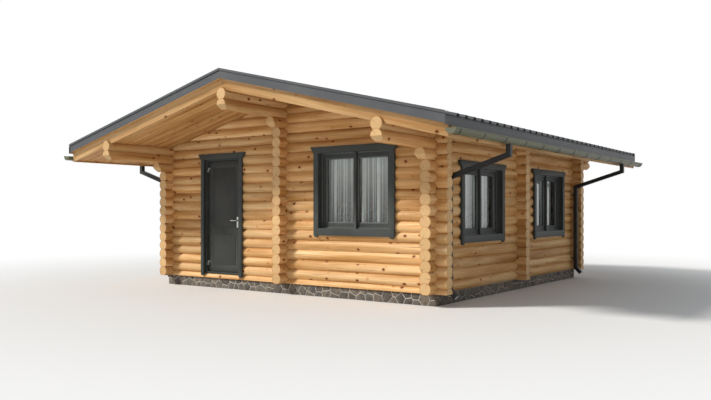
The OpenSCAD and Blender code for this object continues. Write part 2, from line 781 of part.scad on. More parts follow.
module door_leaf() color([0.22, 0.23, 0.23]) on_front(door_x) difference() {
  block([leaf_x0, -leaf_out, leaf_z0], [-leaf_x0, -leaf_out + leaf_t, leaf_z1]);
  mid = leaf_z0 + (leaf_z1 - leaf_z0) * panel_share;
  for (y = [-leaf_out, -leaf_out + leaf_t]) {
    leaf_panel(panel_x0, -panel_x0, leaf_z0 + panel_inset, mid - panel_inset / 2, y);
    leaf_panel(panel_x0, -panel_x0, mid + panel_inset / 2, leaf_z1 - panel_inset, y);
  }
  y_bar(lever_x, lever_z, -log_d, log_d, spindle_d / 2 + spindle_room);
}

// Hinge halves on the leaf
module leaf_hinges() color([0.55, 0.56, 0.56]) on_front(door_x)
  for (z = hinge_zs) difference() {
    union() {
      translate([pin_x, pin_y, z + hinge_h / 2 + knuckle_gap])
        cylinder(r = knuckle_r, h = hinge_h / 2 - knuckle_gap);
      block([pin_x, -leaf_out - hinge_leaf_t, z + hinge_h / 2 + knuckle_gap],
        [pin_x + hinge_leaf_l, -leaf_out, z + hinge_h]);
    }
    translate([pin_x, pin_y, z]) cylinder(d = pin_d + 2 * pin_fit, h = 2 * hinge_h);
  }

// Long plates on both faces of the leaf
module door_plates() color([0.75, 0.76, 0.77]) on_front(door_x)
  for (y0 = [-leaf_out - plate_t, -leaf_out + leaf_t]) difference() {
    block([lever_x - plate_w / 2, y0, lever_z - plate_h * 2 / 3],
      [lever_x + plate_w / 2, y0 + plate_t, lever_z + plate_h / 3]);
    y_bar(lever_x, lever_z, y0 - over, y0 + plate_t + over, hub_d / 2 + hub_fit);
  }

// Spindle with a lever on each side
module door_lever() color([0.78, 0.79, 0.80]) on_front(door_x) {
  y_out = -leaf_out - plate_t - lever_out;
  y_in = -leaf_out + leaf_t + plate_t + lever_out;
  y_bar(lever_x, lever_z, y_out, y_in, spindle_d / 2);
  y_bar(lever_x, lever_z, y_out, -leaf_out - plate_t / 2, hub_d / 2);
  y_bar(lever_x, lever_z, -leaf_out + leaf_t + plate_t / 2, y_in, hub_d / 2);
  for (y = [y_out, y_in]) {
    x_bar(y, lever_z, lever_x - lever_l, lever_x, lever_d / 2);
    translate([lever_x - lever_l, y, lever_z]) sphere(d = lever_d);
    translate([lever_x, y, lever_z]) sphere(d = hub_d);
  }
}

module front_window_casing() color([0.29, 0.32, 0.32])
  on_front(front_window_x) window_casing(front_sill, front_head);
module front_window_frame() color([0.26, 0.28, 0.28])
  on_front(front_window_x) window_frame(front_sill, front_head);

module side_window_casings() color([0.29, 0.32, 0.32]) for (y = side_window_ys) {
  on_left(y) window_casing(side_sill, side_head);
  on_right(y) window_casing(side_sill, side_head);
}

module side_window_frames() color([0.26, 0.28, 0.28]) for (y = side_window_ys) {
  on_left(y) window_frame(side_sill, side_head);
  on_right(y) window_frame(side_sill, side_head);
}

module window_glass() color([0.70, 0.78, 0.80, 0.5]) {
  on_front(front_window_x) window_panes(front_sill, front_head);
  for (y = side_window_ys) {
    on_left(y) window_panes(side_sill, side_head);
    on_right(y) window_panes(side_sill, side_head);
  }
}

module window_curtains() color([0.92, 0.90, 0.85]) {
  on_front(front_window_x) window_drapes(front_sill, front_head);
  for (y = side_window_ys) {
    on_left(y) window_drapes(side_sill, side_head);
    on_right(y) window_drapes(side_sill, side_head);
  }
}

plinth();
floor();
front_sill_log();
front_wall_left();
front_wall_right();
front_gable();
rear_wall();
rear_gable();
left_wall();
right_wall();
front_tie_logs();
rear_tie_logs();
left_tie_logs();
right_tie_logs();
left_plates();
right_plates();
ridge_purlins();
left_roof_deck();
right_roof_deck();
left_roof_sheet();
right_roof_sheet();
ridge_cap();
verge_flashings();
barge_boards();
eave_boards();
eave_strips();
left_gutter();
right_gutter();
gutter_brackets();
left_downpipes();
right_downpipes();
pipe_clips();
door_casing();
door_frame();
frame_hinges();
door_leaf();
leaf_hinges();
door_plates();
door_lever();
front_window_casing();
front_window_frame();
side_window_casings();
side_window_frames();
window_glass();
window_curtains();
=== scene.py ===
import math
import random

import bmesh
import bpy
from mathutils import Matrix, Vector


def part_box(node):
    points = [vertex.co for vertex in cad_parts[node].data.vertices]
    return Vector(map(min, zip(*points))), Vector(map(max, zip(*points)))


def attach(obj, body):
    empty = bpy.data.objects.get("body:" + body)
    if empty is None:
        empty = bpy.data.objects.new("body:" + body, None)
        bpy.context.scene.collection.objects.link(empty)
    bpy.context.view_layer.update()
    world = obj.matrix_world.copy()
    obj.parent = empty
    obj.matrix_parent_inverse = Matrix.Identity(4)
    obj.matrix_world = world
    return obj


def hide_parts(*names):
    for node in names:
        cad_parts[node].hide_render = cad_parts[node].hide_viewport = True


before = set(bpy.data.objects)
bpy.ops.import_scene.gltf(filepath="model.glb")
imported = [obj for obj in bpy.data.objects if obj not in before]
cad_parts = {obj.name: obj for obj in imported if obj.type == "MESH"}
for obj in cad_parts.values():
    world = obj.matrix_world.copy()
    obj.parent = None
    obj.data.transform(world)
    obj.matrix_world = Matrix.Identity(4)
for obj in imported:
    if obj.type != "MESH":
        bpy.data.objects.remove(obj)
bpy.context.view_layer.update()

# Sizes shared with the part, in metres
LOG_R = 0.090
COURSE = 0.156
GABLE_COURSES = 4
PLATE_CUT = 0.050
PLINTH_H = 0.173
PLINTH_T = 0.200
WALL_X = 2.75
WALL_XS = (-WALL_X, 0.0, WALL_X)
WALL_YS = (-2.5, 0.25, 3.0)
SLOPE = (GABLE_COURSES * COURSE + PLATE_CUT) / WALL_X
PITCH = math.atan(SLOPE)
RIB_PITCH = 0.220
RIB_COUNT = 35
SHEET_RISE = 0.0026
PIPE_T = 0.002
SASH_W = 0.083
PANE_IN = 0.035

ALONG_X = Vector((1, 0, 0))
ALONG_Y = Vector((0, 1, 0))


# Node helpers

class Graph:
    """A short way to add and join nodes in one tree."""

    def __init__(self, tree):
        self.tree = tree

    def add(self, kind, inputs=None, **props):
        node = self.tree.nodes.new("ShaderNode" + kind)
        for name, value in props.items():
            setattr(node, name, value)
        for key, value in (inputs or {}).items():
            self.join(value, node.inputs[key])
        return node

    def join(self, value, socket):
        if isinstance(value, bpy.types.NodeSocket):
            self.tree.links.new(value, socket)
        else:
            socket.default_value = value

    def feed(self, shader, **values):
        """Joins values to the shader's inputs of the same names."""
        for key, value in values.items():
            self.join(value, shader.inputs[key.replace("_", " ")])

    def show(self, surface):
        """Makes a shader the surface of the graph's material."""
        self.join(surface, self.tree.nodes["Material Output"].inputs["Surface"])

    def place(self):
        return self.add("TexCoord").outputs["Object"]

    def attribute(self, name, output="Fac"):
        return self.add("Attribute", attribute_name=name).outputs[output]

    def math(self, operation, a, b=0.0):
        return self.add("Math", {0: a, 1: b}, operation=operation).outputs[0]

    def scaled(self, vector, scale):
        return self.add("VectorMath", {0: vector, 1: scale}, operation="MULTIPLY").outputs[0]

    def length(self, vector):
        return self.add("VectorMath", {0: vector}, operation="LENGTH").outputs["Value"]

    def noise(self, vector, scale, detail, rough):
        ins = {"Vector": vector, "Scale": scale, "Detail": detail, "Roughness": rough}
        return self.add("TexNoise", ins).outputs["Fac"]

    def step(self, value, low, high, to_low=0.0, to_high=1.0):
        ins = {"Value": value, "From Min": low, "From Max": high, "To Min": to_low, "To Max": to_high}
        return self.add("MapRange", ins, interpolation_type="SMOOTHSTEP").outputs["Result"]

    def mix(self, fac, a, b, blend="MIX"):
        """Two colours mixed; the node's colour sockets are inputs 6 and 7 and output 2."""
        ins = {"Factor": fac, 6: a, 7: b}
        return self.add("Mix", ins, data_type="RGBA", blend_type=blend).outputs[2]

    def ramp(self, fac, stops):
        node = self.add("ValToRGB", {"Fac": fac})
        points = node.color_ramp.elements
        points[0].position, points[0].color = stops[0]
        points[1].position, points[1].color = stops[-1]
        for spot, color in stops[1:-1]:
            points.new(spot).color = color
        return node.outputs["Color"]

    def bump(self, height, strength, distance):
        ins = {"Height": height, "Strength": strength, "Distance": distance}
        return self.add("Bump", ins).outputs["Normal"]


def rgb(r, g, b):
    return (r, g, b, 1.0)


WHITE = rgb(1.0, 1.0, 1.0)


def grey(value):
    return rgb(value, value, value)


def shade(color, r, g, b):
    """A colour with each of its channels multiplied."""
    return rgb(color[0] * r, color[1] * g, color[2] * b)


def new_group(name):
    return Graph(bpy.data.node_groups.new(name, "ShaderNodeTree"))


def give_outputs(graph, values):
    """Named value outputs for a node group, each joined to what it puts out."""
    for label in values:
        graph.tree.interface.new_socket(label, in_out="OUTPUT", socket_type="NodeSocketFloat")
    out = graph.tree.nodes.new("NodeGroupOutput")
    for label, value in values.items():
        graph.join(value, out.inputs[label])


def use_group(graph, tree):
    return graph.add("Group", node_tree=tree).outputs


def new_material(name, **numbers):
    """A material with its graph and shader, and plain numbers set on the shader."""
    mat = bpy.data.materials.new(name)
    mat.use_nodes = True
    graph = Graph(mat.node_tree)
    shader = mat.node_tree.nodes["Principled BSDF"]
    graph.feed(shader, **numbers)
    return mat, graph, shader


# Camera, light and floor

def set_camera():
    """The camera stands where the photograph was taken from."""
    data = bpy.data.cameras.new("photo_camera")
    data.sensor_fit = "HORIZONTAL"
    data.sensor_width = 36.0
    data.lens = 37.175
    data.shift_y = 0.0159
    data.clip_end = 200.0
    cam = bpy.data.objects.new("photo_camera", data)
    cam.location = (7.90, -11.53, 1.333)
    cam.rotation_euler = (math.radians(90), 0.0, math.radians(35.80))
    bpy.context.scene.collection.objects.link(cam)
    bpy.context.scene.camera = cam


def set_light():
    """Soft key from the front left, even light all round, white behind the object."""
    sun = bpy.data.lights.new("key", "SUN")
    sun.energy = 3.6
    sun.angle = math.radians(9)
    sun.color = (1.0, 0.97, 0.92)
    key = bpy.data.objects.new("key", sun)
    shines_to = Vector((1.09, 1.0, -1.09))
    key.rotation_euler = shines_to.to_track_quat("-Z", "Y").to_euler()
    bpy.context.scene.collection.objects.link(key)

    world = bpy.data.worlds.new("studio")
    bpy.context.scene.world = world
    world.use_nodes = True
    world.node_tree.nodes.clear()
    g = Graph(world.node_tree)
    soft = g.add("Background", {"Color": rgb(0.93, 0.97, 1.0), "Strength": 0.42}).outputs[0]
    white = g.add("Background", {"Color": WHITE, "Strength": 1.0}).outputs[0]
    path = g.add("LightPath").outputs
    seen = g.math("MAXIMUM", path["Is Camera Ray"], path["Is Glossy Ray"])
    seen = g.math("MAXIMUM", seen, path["Is Transmission Ray"])
    both = g.add("MixShader", {0: seen, 1: soft, 2: white}).outputs[0]
    g.add("OutputWorld", {"Surface": both})
    bpy.context.scene.view_settings.view_transform = "Standard"


def set_floor():
    """A pale floor that runs out to white."""
    radius, below = 70.0, 0.001
    fade_from, fade_to = 5.0, 13.0
    bm = bmesh.new()
    bmesh.ops.create_circle(bm, cap_ends=True, segments=96, radius=radius)
    bmesh.ops.translate(bm, verts=bm.verts, vec=(0, 0, -below))
    mesh = bpy.data.meshes.new("pale_floor")
    bm.to_mesh(mesh)
    bm.free()
    floor = bpy.data.objects.new("pale_floor", mesh)
    bpy.context.scene.collection.objects.link(floor)
    mat, g, shader = new_material("pale_floor", Roughness=0.9, Specular_IOR_Level=0.1)
    g.feed(shader, Base_Color=grey(0.76))
    fade = g.step(g.length(g.place()), fade_from, fade_to)
    glow = g.add("Emission").outputs[0]
    g.show(g.add("MixShader", {0: fade, 1: shader.outputs[0], 2: glow}).outputs[0])
    mesh.materials.append(mat)


# Shared effects

def wood_effect():
    """Fibre, broad tone, year rings, knots, drying splits and painted shade round the rims of sawn ends, in
    a timber's own frame.
    """
    ring_gap = 0.0075
    # Radii over which painted shade darkens the rim of a sawn end
    rim_shade_in, rim_shade_out = LOG_R - 0.013, LOG_R - 0.001
    g = new_group("wood_effect")
    grain = g.attribute("grain_frame", "Vector")
    end = g.attribute("end_grain")
    fibre = g.noise(g.scaled(grain, (1.8, 62.0, 62.0)), 1.0, 5.0, 0.62)
    broad = g.noise(g.scaled(grain, (0.55, 9.0, 9.0)), 1.0, 3.0, 0.5)
    wobble = g.noise(g.scaled(grain, (0.9, 16.0, 16.0)), 1.0, 2.0, 0.5)

    radius = g.length(g.scaled(grain, (0.0, 1.0, 1.0)))
    uneven = g.math("ADD", radius, g.math("MULTIPLY", wobble, 0.022))
    wave = g.math("SINE", g.math("MULTIPLY", uneven, 2 * math.pi / ring_gap))
    ring = g.add("Math", {0: wave, 1: 0.5, 2: 0.5}, operation="MULTIPLY_ADD").outputs[0]

    cell = {"Vector": g.scaled(grain, (5.6, 7.8, 7.8)), "Scale": 1.0}
    cells = g.add("TexVoronoi", cell, feature="F1").outputs
    pick = g.add("SeparateColor", {"Color": cells["Color"]}).outputs[0]
    some = g.step(pick, 0.50, 0.53)
    near = g.math("ADD", cells["Distance"], g.math("MULTIPLY", fibre, 0.05))

    line = g.noise(g.scaled(grain, (0.42, 24.0, 24.0)), 1.0, 1.0, 0.4)
    off_line = g.math("ABSOLUTE", g.math("SUBTRACT", line, 0.5))

    axes = g.add("SeparateXYZ", {0: grain}).outputs
    bend = g.math("MULTIPLY", g.math("SUBTRACT", wobble, 0.5), 0.6)
    angle = g.math("ABSOLUTE", g.math("ADD", g.math("ARCTAN2", axes[1], axes[2]), bend))

    give_outputs(g, {
        "Fibre": fibre,
        "Broad": broad,
        "Ring": ring,
        "Knot": g.math("MULTIPLY", g.step(near, 0.19, 0.145), some),
        "Halo": g.math("MULTIPLY", g.step(near, 0.31, 0.17), some),
        "Split": g.math("MULTIPLY", g.step(off_line, 0.010, 0.002), g.step(broad, 0.50, 0.62)),
        "Tone": g.attribute("grain_tone"),
        "End": end,
        "Crack": g.math("MULTIPLY", g.step(angle, 0.075, 0.02), end),
        # Painted shade near the rim of a sawn end
        "RimShade": g.step(radius, rim_shade_in, rim_shade_out),
    })
    return g.tree


def weather_effect():
    """Soft patches, rain streaks down the surface and fine specks, for paint and metal."""
    g = new_group("weather_effect")
    place = g.place()
    give_outputs(g, {
        "Patch": g.noise(place, 1.7, 5.0, 0.6),
        "Streak": g.noise(g.scaled(place, (22.0, 22.0, 1.3)), 1.0, 4.0, 0.6),
        "Speck": g.noise(place, 240.0, 2.0, 0.6),
    })
    return g.tree


WOOD = wood_effect()
WEATHER = weather_effect()


# Materials

def timber(name, deep, base, light, rough=0.5, knots=1.0):
    """Stained timber: grain, knots and splits over three shades of one stain, rings and painted rim shade
    on sawn ends.
    """
    mat, g, shader = new_material(name, Specular_IOR_Level=0.22)
    wood = use_group(g, WOOD)

    def stained(color, mask, amount, dark):
        return g.mix(g.math("MULTIPLY", wood[mask], amount), color, dark)

    color = g.ramp(wood["Broad"], [(0.35, rgb(*deep)), (0.50, rgb(*base)), (0.66, rgb(*light))])
    fibre = g.ramp(wood["Fibre"], [(0.30, rgb(0.70, 0.64, 0.56)), (0.52, WHITE),
                                   (0.75, rgb(1.12, 1.12, 1.1))])
    color = g.mix(0.75, color, fibre, "MULTIPLY")
    ring = g.ramp(wood["Ring"], [(0.0, rgb(0.72, 0.66, 0.58)), (1.0, WHITE)])
    color = g.mix(0.12, color, ring, "MULTIPLY")
    tone = g.ramp(wood["Tone"], [(0.0, rgb(0.80, 0.76, 0.70)), (0.5, rgb(0.97, 0.96, 0.95)),
                                 (1.0, rgb(1.13, 1.13, 1.12))])
    color = g.mix(1.0, color, tone, "MULTIPLY")
    color = stained(color, "Halo", 0.6 * knots, shade(deep, 0.80, 0.58, 0.42))
    color = stained(color, "Knot", 0.96 * knots, shade(deep, 0.24, 0.095, 0.04))
    color = stained(color, "Split", 0.6, shade(deep, 0.25, 0.2, 0.2))

    end_rings = g.ramp(wood["Ring"], [(0.0, rgb(0.76, 0.66, 0.52)), (0.7, WHITE)])
    sawn = g.mix(1.0, shade(light, 0.88, 0.88, 0.88), end_rings, "MULTIPLY")
    sawn = stained(sawn, "Crack", 0.8, shade(deep, 0.35, 0.3, 0.3))
    # Painted shade round the rim of each sawn end, where neighbouring ends meet
    sawn = stained(sawn, "RimShade", 0.75, shade(deep, 0.75, 0.65, 0.6))
    color = g.mix(wood["End"], color, g.mix(0.6, sawn, tone, "MULTIPLY"))

    height = g.math("SUBTRACT", g.math("MULTIPLY", wood["Fibre"], 0.35), wood["Split"])
    g.feed(shader, Base_Color=color, Normal=g.bump(height, 0.35, 0.0025),
           Roughness=g.step(wood["Fibre"], 0.3, 0.75, rough + 0.12, rough - 0.08))
    return mat


def coated(name, base, worn, rough, gloss, streaks, grain=0.12):
    """Painted or coated surface with faint patches, rain streaks and specks."""
    mat, g, shader = new_material(name, Specular_IOR_Level=gloss)
    weather = use_group(g, WEATHER)
    halfway = rgb(*[0.5 * (a + b) for a, b in zip(base, worn)])
    color = g.mix(g.step(weather["Patch"], 0.35, 0.70), rgb(*base), halfway)
    streak = g.math("MULTIPLY", g.step(weather["Streak"], 0.52, 0.74), streaks)
    color = g.mix(streak, color, rgb(*worn))
    speck = g.ramp(weather["Speck"], [(0.3, grey(0.86)), (0.7, grey(1.1))])
    color = g.mix(0.5, color, speck, "MULTIPLY")
    height = g.math("ADD", weather["Speck"], weather["Streak"])
    g.feed(shader, Base_Color=color, Normal=g.bump(height, grain, 0.0006),
           Roughness=g.step(weather["Patch"], 0.3, 0.7, rough - 0.03, rough + 0.05))
    return mat


def stone_face(name):
    """Split stone in grey and brown shades, one tone to a stone."""
    mat, g, shader = new_material(name, Specular_IOR_Level=0.3)
    place = g.place()
    cloud = g.noise(place, 14.0, 6.0, 0.65)
    grit = g.noise(place, 130.0, 4.0, 0.6)
    color = g.ramp(g.attribute("stone_tone"), [
        (0.0, rgb(0.08, 0.070, 0.062)), (0.35, rgb(0.12, 0.102, 0.088)),
        (0.7, rgb(0.165, 0.14, 0.112)), (1.0, rgb(0.10, 0.093, 0.088))])
    dark = g.mix(1.0, color, rgb(0.7, 0.69, 0.68), "MULTIPLY")
    light = g.mix(1.0, color, rgb(1.45, 1.4, 1.32), "MULTIPLY")
    color = g.mix(g.step(cloud, 0.35, 0.7), dark, light)
    color = g.mix(g.step(grit, 0.62, 0.75, 0.0, 0.35), color, rgb(0.34, 0.33, 0.30))
    height = g.math("ADD", cloud, g.math("MULTIPLY", grit, 0.4))
    g.feed(shader, Base_Color=color, Normal=g.bump(height, 0.5, 0.006),
           Roughness=g.step(cloud, 0.3, 0.7, 0.66, 0.86))
    return mat


def mortar_bed(name):
    """Pale mortar, cloudy, with dark grains of sand."""
    mat, g, shader = new_material(name, Specular_IOR_Level=0.2)
    place = g.place()
    cloud = g.noise(place, 9.0, 5.0, 0.6)
    sand = g.noise(place, 420.0, 3.0, 0.6)
    color = g.mix(g.step(cloud, 0.3, 0.7), rgb(0.41, 0.38, 0.335), rgb(0.54, 0.505, 0.45))
    color = g.mix(g.step(sand, 0.5, 0.8, 0.0, 0.4), color, rgb(0.30, 0.28, 0.24))
    g.feed(shader, Base_Color=color, Normal=g.bump(sand, 0.4, 0.002),
           Roughness=g.step(cloud, 0.3, 0.7, 0.82, 0.95))
    return mat


def brushed_steel(name, base, rough):
    """Steel with fine upright brushing and a faint haze."""
    mat, g, shader = new_material(name, Metallic=1.0)
    place = g.place()
    brush = g.noise(g.scaled(place, (900.0, 900.0, 40.0)), 1.0, 2.0, 0.5)
    haze = g.noise(place, 18.0, 4.0, 0.6)
    color = g.mix(g.step(haze, 0.3, 0.7), rgb(*base), shade(base, 0.82, 0.82, 0.82))
    g.feed(shader, Base_Color=color, Normal=g.bump(brush, 0.08, 0.0003),
           Roughness=g.step(brush, 0.3, 0.7, rough - 0.06, rough + 0.08))
    return mat


def clear_pane(name):
    """Clear glass with a little dust; shadow and diffuse rays pass."""
    mat, g, shader = new_material(name, Metallic=0.0, Transmission_Weight=1.0, IOR=1.45)
    dust = g.noise(g.place(), 6.0, 5.0, 0.65)
    color = g.mix(g.step(dust, 0.4, 0.8), rgb(0.93, 0.97, 0.97), rgb(0.86, 0.90, 0.90))
    g.feed(shader, Base_Color=color, Roughness=g.step(dust, 0.45, 0.85, 0.01, 0.06))
    clear = g.add("BsdfTransparent", {"Color": rgb(0.90, 0.93, 0.93)}).outputs[0]
    path = g.add("LightPath").outputs
    passing = g.math("MAXIMUM", path["Is Shadow Ray"], path["Is Diffuse Ray"])
    g.show(g.add("MixShader", {0: passing, 1: shader.outputs[0], 2: clear}).outputs[0])
    return mat


def thin_cloth(name):
    """Pale woven curtain: threads both ways on the cloth's own map, with painted shade in the hollows of
    the folds; it lets more of the dark room through low down and in the hollows, as painted shade and a
    painted dark reflection.
    """
    mat, g, shader = new_material(name, Roughness=0.85, Specular_IOR_Level=0.15, Sheen_Weight=0.25)
    fold = g.attribute("fold_depth")
    uv = g.add("UVMap", uv_map="cloth").outputs["UV"]
    thread = {"Vector": uv, "Distortion": 0.6, "Detail": 1.0}
    warp = g.add("TexWave", {**thread, "Scale": 260.0}, bands_direction="X").outputs["Fac"]
    weft = g.add("TexWave", {**thread, "Scale": 240.0}, bands_direction="Y").outputs["Fac"]
    weave = g.math("MULTIPLY", warp, weft)
    slub = g.noise(g.scaled(uv, (60.0, 4.0, 1.0)), 1.0, 3.0, 0.6)
    color = g.mix(g.step(slub, 0.3, 0.7), rgb(0.80, 0.80, 0.78), rgb(0.88, 0.87, 0.84))
    color = g.mix(g.math("MULTIPLY", weave, 0.10), color, rgb(0.55, 0.55, 0.53))
    # Painted shade in the hollows of the folds, and a faint painted highlight on their ridges
    color = g.mix(1.0, color, g.ramp(fold, [(0.1, grey(0.52)), (0.9, grey(1.06))]), "MULTIPLY")
    # More see-through towards the bottom and in the hollows, so the dark room shows: painted shade in the
    # hollows and a painted dark reflection low down
    rise = g.add("SeparateXYZ", {0: uv}).outputs[1]
    painted_shade_alpha = g.step(fold, 0.30, 0.95, 0.20, 0.78)
    g.feed(shader, Base_Color=color, Alpha=g.step(rise, 0.15, 1.10, painted_shade_alpha, 0.98),
           Normal=g.bump(g.math("ADD", weave, slub), 0.1, 0.0005))
    return mat


HONEY = timber("honey_log", (0.52, 0.265, 0.083), (0.68, 0.405, 0.172), (0.81, 0.55, 0.28))
# The soffit's stain is darkened as painted shade for the underside of the eaves
SOFFIT_SHADED = timber("soffit_wood", (0.40, 0.19, 0.055), (0.51, 0.27, 0.095), (0.62, 0.37, 0.15), knots=0.8)
BARGE = timber("barge_wood", (0.42, 0.22, 0.075), (0.54, 0.32, 0.135), (0.65, 0.42, 0.20))
BOARDS = timber("floor_wood", (0.36, 0.20, 0.09), (0.46, 0.28, 0.13), (0.56, 0.37, 0.19),
                rough=0.38, knots=0.6)
ROOF = coated("roof_metal", (0.070, 0.074, 0.079), (0.10, 0.104, 0.108),
              rough=0.44, gloss=0.28, streaks=0.12)
GUTTER = coated("gutter_metal", (0.118, 0.121, 0.078), (0.176, 0.178, 0.122),
                rough=0.42, gloss=0.2, streaks=0.45)
BRACKET = coated("bracket_metal", (0.060, 0.062, 0.046), (0.10, 0.10, 0.08),
                 rough=0.44, gloss=0.2, streaks=0.4)
PIPE = coated("pipe_metal", (0.020, 0.021, 0.021), (0.046, 0.047, 0.045),
              rough=0.38, gloss=0.2, streaks=0.3)
# Pale lining for the downpipes' mouths: a painted highlight where each mouth catches the light
MOUTH_HIGHLIGHT = coated("mouth_highlight", (0.78, 0.79, 0.79), (0.88, 0.89, 0.89),
              rough=0.36, gloss=0.5, streaks=0.3)
TRIM = coated("trim_paint", (0.045, 0.052, 0.049), (0.075, 0.085, 0.081),
              rough=0.50, gloss=0.2, streaks=0.30, grain=0.25)
FRAME = coated("frame_paint", (0.037, 0.041, 0.038), (0.062, 0.067, 0.063),
               rough=0.46, gloss=0.2, streaks=0.25, grain=0.25)
# Paint lighter than the frames for beads and sash steps: a painted highlight along the steps around each
# pane
BEAD_HIGHLIGHT = coated("bead_highlight_paint", (0.108, 0.117, 0.112), (0.15, 0.16, 0.154),
              rough=0.44, gloss=0.28, streaks=0.2, grain=0.2)
DOOR = coated("door_paint", (0.040, 0.042, 0.039), (0.066, 0.068, 0.064),
              rough=0.48, gloss=0.2, streaks=0.25, grain=0.25)
STONE = stone_face("split_stone")
MORTAR = mortar_bed("light_mortar")
HINGE = brushed_steel("hinge_steel", (0.36, 0.36, 0.36), 0.38)
HANDLE = brushed_steel("handle_steel", (0.62, 0.62, 0.61), 0.28)
PANE = clear_pane("clear_pane")
CLOTH = thin_cloth("curtain_cloth")


# Mesh helpers

def copy_of(node):
    """A merged copy of a CAD node's mesh."""
    together = 1e-5
    bm = bmesh.new()
    bm.from_mesh(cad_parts[node].data)
    bmesh.ops.remove_doubles(bm, verts=bm.verts, dist=together)
    return bm


def islands(bm):
    """The separate solids of a mesh, as lists of vertices in a steady order."""
    seen = set()
    found = []
    for start in bm.verts:
        if start in seen:
            continue
        group, stack = [], [start]
        seen.add(start)
        while stack:
            v = stack.pop()
            group.append(v)
            for e in v.link_edges:
                w = e.other_vert(v)
                if w not in seen:
                    seen.add(w)
                    stack.append(w)
        found.append(group)
    return found


def bounds_of(verts):
    lo = Vector([min(v.co[i] for v in verts) for i in range(3)])
    hi = Vector([max(v.co[i] for v in verts) for i in range(3)])
    return lo, hi


def face_out(bm):
    bmesh.ops.recalc_face_normals(bm, faces=bm.faces)


def round_edges(bm, edges, width, segments=1):
    """Takes edges off by a width, in one flat or in several that make a round."""
    bmesh.ops.bevel(bm, geom=edges, offset=width, offset_type="OFFSET", segments=segments, profile=0.5,
                    affect="EDGES", clamp_overlap=True, material=-1)


def soften(bm, width):
    """Flat faces joined up, then every sharp edge rounded over."""
    flat, sharp = math.radians(0.5), math.radians(30)
    bmesh.ops.dissolve_limit(bm, angle_limit=flat, verts=bm.verts, edges=bm.edges)
    edges = [e for e in bm.edges if len(e.link_faces) == 2 and e.calc_face_angle(0.0) > sharp]
    round_edges(bm, edges, width, segments=2)


def piece(bm, name, material, body="cabin", stands_for=(), smooth=35):
    """Makes an object of the mesh that rides on a body and takes the given finish."""
    mesh = bpy.data.meshes.new(name)
    bm.to_mesh(mesh)
    bm.free()
    for label in ("custom_normal", "UVMap"):
        if label in mesh.attributes:
            mesh.attributes.remove(mesh.attributes[label])
    mesh.materials.clear()
    mesh.materials.append(material)
    mesh.polygons.foreach_set("material_index", [0] * len(mesh.polygons))
    mesh.polygons.foreach_set("use_smooth", [True] * len(mesh.polygons))
    mesh.set_sharp_from_angle(angle=math.radians(smooth))
    obj = bpy.data.objects.new(name, mesh)
    bpy.context.scene.collection.objects.link(obj)
    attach(obj, body)
    if stands_for:
        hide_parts(*stands_for)
    return obj


def plain_copy(node, material, body="cabin", round_over=0.0, smooth=35):
    """A merged copy of a node in its own finish, with its edges rounded over if asked."""
    bm = copy_of(node)
    if round_over:
        soften(bm, round_over)
    piece(bm, node + "_skin", material, body, [node], smooth)


def grain_layers(bm):
    return bm.verts.layers.float_vector.new("grain_frame"), bm.verts.layers.float.new("grain_tone")


def lay_grain(layers, verts, origin, along, across, rng):
    """Gives the timber its own frame along its length, shifted by chance, and its tone."""
    third = along.cross(across)
    shift = rng.uniform(0.0, 40.0)
    turn = rng.uniform(0.0, 2 * math.pi)
    c, s = math.cos(turn), math.sin(turn)
    tone = rng.random()
    for v in verts:
        p = v.co - origin
        a, b = p.dot(across), p.dot(third)
        v[layers[0]] = (p.dot(along) + shift, c * a - s * b, s * a + c * b)
        v[layers[1]] = tone


def draw_out(bm, faces, reach):
    """Draws flat faces out along a vector; returns the new vertices."""
    grown = bmesh.ops.extrude_face_region(bm, geom=faces)["geom"]
    far = [g for g in grown if isinstance(g, bmesh.types.BMVert)]
    bmesh.ops.translate(bm, verts=far, vec=reach)
    return far


def slab(bm, corners, reach):
    """A prism from a flat outline, drawn out along a vector; returns its near and its far vertices."""
    near = [bm.verts.new(c) for c in corners]
    face = bm.faces.new(near)
    return near, draw_out(bm, [face], reach)


def square_ring(bm, width, depth, wall, length, place):
    """A square-cornered ring of even wall, drawn out along the place's Z."""
    flat = bmesh.ops.create_grid(bm, x_segments=1, y_segments=1, size=0.5,
                                 matrix=Matrix.Diagonal((width, depth, 1, 1)))
    face = flat["verts"][0].link_faces[0]
    rim = bmesh.ops.inset_region(bm, faces=[face], thickness=wall, use_boundary=True,
                                 use_even_offset=True)["faces"]
    bmesh.ops.delete(bm, geom=[face], context="FACES_ONLY")
    far = draw_out(bm, rim, (0, 0, length))
    near = {v for f in rim for v in f.verts}
    bmesh.ops.transform(bm, matrix=place, verts=list(near) + far)
    face_out(bm)


def cone(bm, sides, low_r, high_r, deep, place):
    """A cone without its tip, closed at both ends, standing about the place's Z."""
    bmesh.ops.create_cone(bm, cap_ends=True, segments=sides, radius1=low_r, radius2=high_r, depth=deep,
                          matrix=place)


# Log walls

def log_axis(verts, along_x):
    """A point on the axis of the log that these vertices belong to."""
    courses, on_surface = 24, 0.0006
    across = 1 if along_x else 0
    lo, hi = bounds_of(verts)
    middle = (lo + hi) / 2
    side = min(WALL_YS if along_x else WALL_XS, key=lambda w: abs(w - middle[across]))
    base = PLINTH_H if along_x else PLINTH_H + COURSE / 2

    def fits(z):
        """How many of the vertices lie on a log of this height."""
        away = [math.hypot(v.co[across] - side, v.co.z - z) for v in verts]
        return sum(abs(r - LOG_R) < on_surface for r in away)

    axis = Vector((0.0, 0.0, max([base + n * COURSE for n in range(courses)], key=fits)))
    axis[across] = side
    return axis


